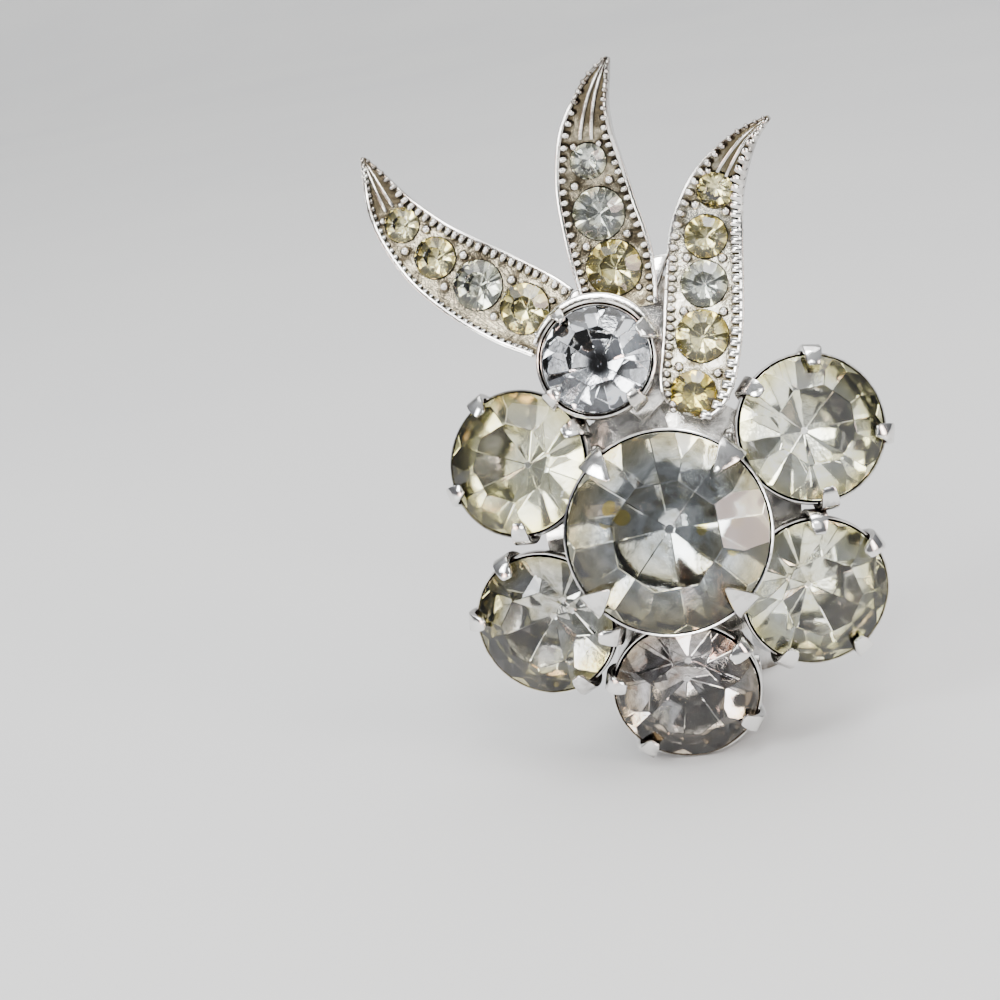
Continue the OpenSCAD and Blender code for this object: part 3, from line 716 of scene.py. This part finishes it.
def hub():
    """The stamped plate under the cups: lobes, wells for the stones' points, a tongue and flutes."""
    reach = math.hypot(COLLAR_AT.x, COLLAR_AT.y)
    start(
        bpy.ops.mesh.primitive_cube_add,
        size=1, scale=(2 * TONGUE_R, reach, HUB_T), location=(0, reach / 2, HUB_TOP - HUB_T / 2),
    )
    tongue = done("tongue")
    tongue.data.transform(Matrix.Rotation(math.atan2(-COLLAR_AT.x, COLLAR_AT.y), 4, "Z"))
    extras = [tongue, hub_disc(COLLAR_AT.x, COLLAR_AT.y, TONGUE_R)]
    for angle, _, _ in PETALS:
        turn = math.radians(angle)
        extras.append(hub_disc(LOBE_AT * math.cos(turn), LOBE_AT * math.sin(turn), LOBE_R))
    base = hub_disc(0, 0, HUB_R, 96)
    for extra in extras:
        modifier(base, "BOOLEAN", operation="UNION", object=extra, solver="EXACT")
    drop(*extras)
    for angle, distance, _ in PETALS:
        point = petal_place(angle, distance) @ Vector((0, 0, -POINT_DEPTH * PETAL_D))
        well = hub_disc(point.x, point.y, WELL_R, 24)
        well.data.transform(Matrix.Translation((0, 0, WELL_LIFT)))
        modifier(base, "BOOLEAN", operation="DIFFERENCE", object=well, solver="EXACT")
        drop(well)
    eased(base, 0.12, 3, 40)
    flutes = []
    middle = FLUTE_FROM + FLUTE_L / 2
    stretch = FLUTE_L / 2 - FLUTE_R
    for x in FLUTES_AT:
        flute = start(
            bpy.ops.mesh.primitive_uv_sphere_add,
            segments=20, ring_count=12, radius=FLUTE_R, location=(x, middle, HUB_TOP),
        )
        pick_faces(flute, lambda spot, normal: spot.y > middle)
        bpy.ops.transform.translate(value=(0, stretch, 0))
        pick_faces(flute, lambda spot, normal: spot.y < middle)
        bpy.ops.transform.translate(value=(0, -stretch, 0))
        flutes.append(done("flute"))
    # The hub and its flutes take the darker plating, which paints them as shaded under the cups.
    return joined(plated([base] + flutes, SHADED_HUB_PLATING))


def flower_frame():
    cup, tab = petal_cup(), petal_prong()
    pieces = [hub()]
    for angle, distance, prongs in PETALS:
        place = petal_place(angle, distance)
        pieces.append(copied(cup, place))
        for direction in prongs:
            pieces.append(copied(tab, place @ turn_z(direction)))
    drop(cup, tab)
    finished(
        joined(plated(pieces, PLATING)), "petal_cups", "flower", node="flower_frame",
    )


def centre_setting():
    cup, claw = centre_cup(), centre_prong()
    pieces = [copied(cup, CENTRE_PLACE)]
    for direction in CENTRE_PRONGS:
        pieces.append(copied(claw, CENTRE_PLACE @ turn_z(direction)))
    drop(cup, claw)
    finished(joined(pieces), "centre_setting", "flower", PLATING, "centre_cup")


# Leaves


def half_width(rows, s):
    return max(spine(rows, s)[3], NARROWEST_HALF)


def leaf_depth(half):
    """How deep a leaf's casting is where it is so wide, down to a fine tip."""
    return LEAF_DEPTH * (0.18 + 0.82 * min(1, half / 1.6))


def leaf_core(rows, field):
    """The cast body of a leaf: a sunk field on top, and sides that narrow towards the back."""
    steps = 3
    stations = []
    for i, x in enumerate(leaf_lengths(rows, steps)):
        half = half_width(rows, i / steps)
        depth = leaf_depth(half)
        stations.append((x, 0, -depth / 2, 1.97 * half, depth))
    core = bar("leaf_core", stations)
    pick_faces(core, lambda spot, normal: normal.z < -0.5)
    bpy.ops.transform.resize(value=(1, 0.82, 1), center_override=(0, 0, 0))
    done("leaf_core")
    core.data.materials.append(LEAF_PLATING)
    core.data.materials.append(field)
    for face in core.data.polygons:
        face.material_index = 1 if face.normal.z > 0.5 else 0
    return core


def leaf_edge(rows, side, height):
    """The raised rim along one edge of a leaf, tapered to its tip."""
    steps = 3
    stations = []
    for i, x in enumerate(leaf_lengths(rows, steps)):
        half = half_width(rows, i / steps)
        rim = min(LEAF_RIM, 0.62 * half)
        rise = height * min(1, 0.15 + half)
        foot = min(0.5, 0.9 * leaf_depth(half))
        stations.append((x, side * (half - rim / 2), (rise - foot) / 2, rim, rise + foot))
    return eased(bar("leaf_edge", stations), 0.08, 3, 50)


def leaf_ridge(rows, from_row, side):
    """A fine raised line in the groove between the last stone and the tip."""
    steps = 4
    lengths = leaf_lengths(rows, steps)
    stations = []
    for i in range(int(from_row * steps), len(lengths)):
        half = half_width(rows, i / steps)
        wide = min(0.13, 0.25 * half)
        rise = 0.20 * min(1, 0.3 + half)
        stations.append((lengths[i], side * 0.2 * half, rise / 2 - 0.1, wide, rise + 0.2))
    return eased(bar("leaf_ridge", stations), 0.03, 2, 50)


def grain(name, squash):
    """A small bead of metal, a millimetre in radius until it is placed."""
    start(bpy.ops.mesh.primitive_uv_sphere_add, segments=8, ring_count=6, radius=1)
    bpy.ops.transform.resize(value=(1, squash, 1), center_override=(0, 0, 0))
    return done(name)


def mill_tooth():
    """A worn block, a millimetre each way from its middle until it is placed."""
    tooth = start(bpy.ops.mesh.primitive_cube_add, size=2)
    done("mill_tooth")
    return eased(tooth, 0.42, 2, 30)


def seat_cutter(d, field):
    """The shape of a stone's seat: a cone for its back and a straight wall above."""
    r, girdle = d / 2 + SEAT_PLAY, half_girdle(d)
    cutter = turned("seat_cutter", [
        (0, -girdle - 0.46 * d), (0.10 * d, -girdle - 0.44 * d), (r - 0.05, -girdle - 0.10),
        (r, -girdle), (r, 1.2), (0, 1.2),
    ], 40)
    cutter.data.materials.append(LEAF_PLATING)
    cutter.data.materials.append(field)
    for face in cutter.data.polygons:
        face.material_index = 1
    return cutter


def seated(piece, name, field):
    """Cuts the seats of a leaf's stones into a piece."""
    for s, d, _ in LEAF_STONES[name]:
        cutter = seat_cutter(d, field)
        cutter.data.transform(leaf_place(LEAVES[name], s, 0, STONE_RISE))
        modifier(piece, "BOOLEAN", operation="DIFFERENCE", object=cutter, solver="EXACT")
        drop(cutter)
    return piece


def leaf(name):
    """One leaf: its core with the stones' seats, rims, ridges, milled teeth or beads, and claws."""
    rows, stones = LEAVES[name], LEAF_STONES[name]
    field = PALE_FIELD if name == "right_leaf" else LEAF_FIELD
    last, bends = len(rows) - 1, 90
    path = [spine(rows, last * i / bends).to_3d() for i in range(bends + 1)]
    parts = [seated(bent(leaf_core(rows, field), path), name, field)]
    for side in (-1, 1):
        height = 0.02 if (name, side) in OPEN_EDGES else LEAF_RISE
        parts.append(bent(leaf_edge(rows, side, height), path))
        parts.append(bent(leaf_ridge(rows, stones[-1][0] + 0.9, side), path))
    bead, claw, block = grain("grain", 0.72), grain("claw", 1.0), mill_tooth()
    steps = 48
    for side in (-1, 1):
        pitch, tooth = OPEN_EDGES.get((name, side), (GRAIN_PITCH, 0))
        due = 0.25
        for i, length in enumerate(leaf_lengths(rows, steps)):
            if length < due:
                continue
            half = half_width(rows, i / steps)
            fine = 0.75 + 0.25 * min(1, half)
            if tooth:
                size = min(tooth, 0.06 + 0.24 * half)
                lift = 0.10 * min(1, 0.3 + half)
                place = leaf_place(rows, i / steps, side * (half - 0.92 * size), lift)
                stretch = Matrix.Diagonal((size, 0.40 * pitch * fine, 0.9 * size, 1))
                parts.append(copied(block, place @ stretch))
            else:
                size = min(GRAIN_R, 0.10 + 0.12 * half)
                inset = min(LEAF_RIM + 0.6 * size, max(0.4 * size, 0.4 * (half - 0.35)))
                lift = LEAF_RISE * min(1, 0.3 + half) - 0.6 * size
                place = leaf_place(rows, i / steps, side * (half - inset), lift)
                parts.append(copied(bead, place @ Matrix.Scale(size, 4)))
            due += pitch * fine
    for (s0, d0, _), (s1, d1, _) in zip(stones, stones[1:]):
        along = (s0 * d1 + s1 * d0) / (d0 + d1)
        for side in (-1, 1):
            place = leaf_place(rows, along, side * 0.2 * (d0 + d1), CLAW_LIFT)
            parts.append(copied(claw, place @ Matrix.Scale(CLAW_R, 4)))
    for (s, d, _), ahead in ((stones[0], -1), (stones[-1], 1)):
        beyond = Matrix.Translation((0, ahead * 0.44 * d, 0))
        for side in (-1, 1):
            place = leaf_place(rows, s, side * 0.36 * d, CLAW_LIFT) @ beyond
            parts.append(copied(claw, place @ Matrix.Scale(END_CLAW_R, 4)))
    drop(bead, claw, block)
    return joined(plated(parts, LEAF_PLATING))


def collar():
    """The collar stone's block, with two fine rings round the stone, and its four claws."""
    block = turned("collar_block", [
        (0, -2.35), (2.24, -2.35), (2.30, -2.30), (2.50, -0.86), (2.53, -0.74), (2.47, -0.60),
        (2.56, -0.50), (2.62, -0.40), (2.63, 0.02), (2.61, 0.12), (2.565, 0.15), (2.52, 0.12),
        (2.50, 0.02), (2.48, -0.04), (2.455, -0.02), (2.445, 0.08), (2.42, 0.12), (2.39, 0.10),
        (2.39, -0.12), (2.12, -0.50), (0.35, -2.06), (0, -2.08),
    ])
    claw = eased(folded("collar_prong", [
        (2.62, -0.90, 0, 0.30, 0.62), (2.70, -0.50, 0, 0.36, 0.74), (2.71, 0.02, 0, 0.36, 0.74),
        (2.66, 0.22, 24, 0.36, 0.72), (2.50, 0.40, 50, 0.34, 0.66), (2.30, 0.52, 60, 0.28, 0.54),
        (2.12, 0.60, 64, 0.18, 0.34),
    ]), 0.07, 3)
    parts = [copied(block, COLLAR_PLACE)]
    for direction, width in COLLAR_PRONGS:
        broadened = Matrix.Scale(width, 4, (0, 1, 0))
        parts.append(copied(claw, COLLAR_PLACE @ turn_z(direction) @ broadened))
    drop(block, claw)
    return parts


def collar_post():
    """The post under the collar, its neck through the hub, and its head riveted over behind."""
    foot = HUB_TOP + 0.02
    post = turned("collar_post", [
        (0, -3.70), (0.66, -3.70), (0.75, -3.62), (0.75, -3.33), (0.45, -3.32), (0.45, foot),
        (1.10, foot), (1.12, foot + 0.05), (1.02, foot + 0.30), (1.02, 0.16), (0, 0.18),
    ], 48)
    post.data.transform(Matrix.Translation((COLLAR_AT.x, COLLAR_AT.y, 0)))
    return post


def shoulder(from_angle, to_angle, radius, wide, lift):
    """A smooth bright band that wraps the top of the collar, between the leaves' rims."""
    count = 28
    path = []
    for i in range(count + 1):
        angle = math.radians(from_angle + (to_angle - from_angle) * i / count)
        path.append(COLLAR_PLACE @ Vector((radius * math.cos(angle), radius * math.sin(angle), lift)))
    length = sum((b - a).length for a, b in zip(path, path[1:]))
    stations = []
    for i in range(count + 1):
        swell = 0.35 + 0.65 * math.sin(math.pi * i / count)
        stations.append((length * i / count, 0, 0, wide * swell, 0.9))
    return bent(eased(bar("shoulder", stations), 0.09, 3, 50), path)


def leaf_spray():
    """The casting: leaves, collar, post, shoulder, and plates between, cut clear of the stones."""
    parts = [leaf(name) for name in LEAVES]
    parts += collar()
    parts.append(collar_post())
    parts.append(shoulder(20, 158, 2.86, 0.46, -0.50))
    web = eased(plate("web", [
        (-5.0, 8.9), (-4.2, 10.5), (-2.6, 10.9), (0.9, 11.3),
        (2.4, 10.6), (2.4, 7.2), (-2.1, 6.4),
    ], -0.25, 0.45), 0.08)
    left_gusset = eased(plate("left_gusset", [
        (-3.6, 10.2), (-2.95, 11.0), (-2.5, 11.15), (-2.3, 10.4), (-3.0, 9.9),
    ], -0.25, 0.95), 0.12, 3)
    right_gusset = eased(plate("right_gusset", [
        (0.62, 9.3), (0.62, 12.0), (1.55, 12.05), (1.05, 9.3),
    ], -0.25, 1.02), 0.12, 3)
    start(
        bpy.ops.mesh.primitive_cylinder_add,
        vertices=32, radius=1.5, depth=2, location=(COLLAR_AT.x, COLLAR_AT.y, 0),
    )
    well = done("well")
    modifier(web, "BOOLEAN", operation="DIFFERENCE", object=well, solver="EXACT")
    drop(well)
    for between in (web, left_gusset, right_gusset):
        plated([between], LEAF_PLATING)
        for name in LEAVES:
            seated(between, name, LEAF_FIELD)
        parts.append(between)
    cast = joined(plated(parts, LEAF_PLATING))
    finished(cast, "leaf_spray_cast", "flower", node="leaf_spray")


# Clip


def clip_piece(node, name, width):
    """The CAD's own shape of a clip piece, with its seams merged and its edges eased."""
    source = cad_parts[node]
    piece = bpy.data.objects.new(name, source.data.copy())
    bpy.context.collection.objects.link(piece)
    piece.data.transform(Matrix.Scale(1000, 4) @ source.matrix_world)
    only(piece)
    bpy.ops.object.mode_set(mode="EDIT")
    bpy.ops.mesh.select_all(action="SELECT")
    bpy.ops.mesh.remove_doubles(threshold=0.0008)
    bpy.ops.mesh.dissolve_limited(angle_limit=math.radians(1.0))
    done(name)
    eased(piece, width, 2, 40)
    finished(piece, name, "flower", CLIP_PLATING, node, MILLIMETRE, 40)


def pad_skin(wall, low):
    """One skin of the pad: a long dome with a round far end, rounded near corners and a flat base."""
    radius, near, far = DOME_R - wall, PAD_NEAR + wall, PADDLE_L - PADDLE_W / 2
    skin = start(
        bpy.ops.mesh.primitive_uv_sphere_add,
        segments=96, ring_count=48, radius=radius, location=(0, far, PADDLE_H - DOME_R),
        rotation=(math.radians(90), 0, 0),
    )
    pick_faces(skin, lambda spot, normal: spot.y < far)
    bpy.ops.transform.translate(value=(0, near - 1 - far, 0))
    cuts = [((0, near, 0), (0, -1, 0)), ((0, 0, low), (0, 0, -1))]
    corner = PAD_CORNER - wall
    turn_at = (PADDLE_W / 2 - wall + 0.05 - corner, near + corner)
    for k in range(8):
        angle = math.radians(11.25 * k + 5.6)
        out = Vector((math.cos(angle), -math.sin(angle)))
        for side in (-1, 1):
            spot = (side * (turn_at[0] + corner * out.x), turn_at[1] + corner * out.y, 0)
            cuts.append((spot, (side * out.x, out.y, 0)))
    for spot, out in cuts:
        bpy.ops.mesh.select_all(action="SELECT")
        bpy.ops.mesh.bisect(plane_co=spot, plane_no=out, use_fill=True, clear_outer=True)
    return done("pad_skin")


def paddle_rod(name, radius, length):
    start(
        bpy.ops.mesh.primitive_cylinder_add,
        vertices=64, radius=radius, depth=length,
        location=(0, 0, PIN_UP), rotation=(0, math.radians(90), 0),
    )
    return done(name)


def paddle():
    """The long domed pad, hollow below, with its arm and the knuckle that turns on the pin."""
    pad, hollow = pad_skin(0, 0), pad_skin(PADDLE_WALL, -1)
    reach = PAD_NEAR + 0.3
    start(
        bpy.ops.mesh.primitive_cube_add,
        size=1, scale=(KNUCKLE_L, reach, ARM_T), location=(0, reach / 2, ARM_LOW + ARM_T / 2),
    )
    arm = done("arm")
    knuckle = paddle_rod("knuckle", KNUCKLE_R, KNUCKLE_L)
    hole = paddle_rod("pin_hole", PIN_HOLE_R, 12)
    tools = ((hollow, "DIFFERENCE"), (arm, "UNION"), (knuckle, "UNION"), (hole, "DIFFERENCE"))
    for tool, way in tools:
        modifier(pad, "BOOLEAN", operation=way, object=tool, solver="EXACT")
    drop(hollow, arm, knuckle, hole)
    eased(pad, 0.09, 3, 40)
    place = MILLIMETRE @ Matrix.Translation(PADDLE_AT)
    finished(pad, "paddle", "clip", CLIP_PLATING, "clip_paddle", place, 40)


def clip():
    clip_piece("clip_bracket", "bracket_plate", 0.10)
    clip_piece("clip_spring", "flat_spring", 0.04)
    clip_piece("clip_rivet_left", "left_rivet", 0.06)
    clip_piece("clip_rivet_right", "right_rivet", 0.06)
    clip_piece("hinge_pin", "hinge_wire", 0.08)
    paddle()


# Light, floor and camera


def studio():
    """A pale sheet that lies flat under the earring and sweeps up far behind it."""
    sheet = start(bpy.ops.mesh.primitive_plane_add, size=3, location=(0, -0.5, 0))
    bpy.ops.object.mode_set(mode="OBJECT")
    far = 0.9
    for edge in sheet.data.edges:
        edge.select = all(sheet.data.vertices[end].co.y > far for end in edge.vertices)
    for corner in sheet.data.vertices:
        corner.select = corner.co.y > far
    for face in sheet.data.polygons:
        face.select = False
    bpy.ops.object.mode_set(mode="EDIT")
    bpy.ops.mesh.extrude_region_move(TRANSFORM_OT_translate={"value": (0, 0, 1.6)})
    done("studio_sweep")
    eased(sheet, 0.6, 16, 60)
    bpy.ops.object.shade_smooth()
    pale, nodes, links = shader("pale_sheet")
    body = nodes["Principled BSDF"]
    places = millimetre_places(nodes, links)
    tone = ramp(nodes, links, noise(nodes, links, places, 0.02, 2), [
        (0.3, (0.60, 0.60, 0.60)), (0.7, (0.63, 0.63, 0.62)),
    ])
    links.new(tone, body.inputs["Base Color"])
    body.inputs["Roughness"].default_value = 0.65
    sheet.data.materials.append(pale)


def room():
    """A dim room, brighter overhead."""
    world = bpy.data.worlds.new("studio")
    world.use_nodes = True
    nodes, links = world.node_tree.nodes, world.node_tree.links
    towards = nodes.new("ShaderNodeTexCoord")
    height = nodes.new("ShaderNodeSeparateXYZ")
    links.new(towards.outputs["Generated"], height.inputs["Vector"])
    tone = ramp(nodes, links, height.outputs["Z"], [
        (0.0, (0.13, 0.13, 0.14)), (0.35, (0.22, 0.225, 0.24)), (0.9, (0.62, 0.64, 0.66)),
    ])
    links.new(tone, nodes["Background"].inputs["Color"])
    bpy.context.scene.world = world


def softbox(name, spot, width, height, watts, colour=(1, 1, 1), aim=(0, -0.005, 0.015)):
    light = bpy.data.lights.new(name, "AREA")
    light.shape = "RECTANGLE"
    light.size, light.size_y = width, height
    light.energy = watts
    light.color = colour
    lamp = bpy.data.objects.new(name, light)
    bpy.context.collection.objects.link(lamp)
    lamp.location = spot
    lamp.rotation_euler = (Vector(aim) - Vector(spot)).to_track_quat("-Z", "Y").to_euler()


def lights():
    softbox("softbox_overhead", (0, 0.35, 1.2), 1.6, 1.2, 20)
    softbox("softbox_top", (0.05, -0.05, 0.26), 0.12, 0.05, 0.30)
    softbox("softbox_left", (-0.20, -0.14, 0.14), 0.06, 0.14, 0.60, (0.94, 0.97, 1.0))
    softbox("softbox_right", (0.20, -0.12, 0.08), 0.05, 0.12, 0.24, (1.0, 0.80, 0.72))
    softbox("softbox_front", (-0.03, -0.26, 0.16), 0.06, 0.05, 0.36)
    softbox("softbox_fill", (0.10, -0.34, 0.20), 0.22, 0.14, 0.14)
    softbox("spark_low", (-0.10, -0.30, 0.05), 0.06, 0.05, 0.24)
    softbox("spark_high", (0.12, -0.28, 0.26), 0.06, 0.05, 0.24)
    softbox("spark_blush", (-0.20, -0.20, 0.03), 0.06, 0.05, 0.14, (1.0, 0.66, 0.54))


def camera():
    """Stands where the photograph's did: its three axes and its place in the face-up frame."""
    side = Vector((0.979, -0.134, -0.152))
    rise = Vector((0.120, 0.988, -0.099))
    back = Vector((0.164, 0.079, 0.983))
    seat = side * -8.309 + rise * 0.366 + back * 77.370
    lens = bpy.data.cameras.new("camera")
    eye = bpy.data.objects.new("camera", lens)
    bpy.context.collection.objects.link(eye)
    axes = [(STAND.to_3x3() @ axis).normalized() for axis in (side, rise, back)]
    eye.matrix_world = Matrix.Translation(STAND @ seat) @ Matrix(axes).transposed().to_4x4()
    film = 36
    lens.sensor_width = film
    lens.lens = film * 1.727
    lens.shift_x = 0.0148
    lens.shift_y = 0.0193
    lens.clip_start = 0.001
    bpy.context.scene.camera = eye


camera()
set_all_stones()
flower_frame()
centre_setting()
leaf_spray()
clip()
studio()
room()
lights()
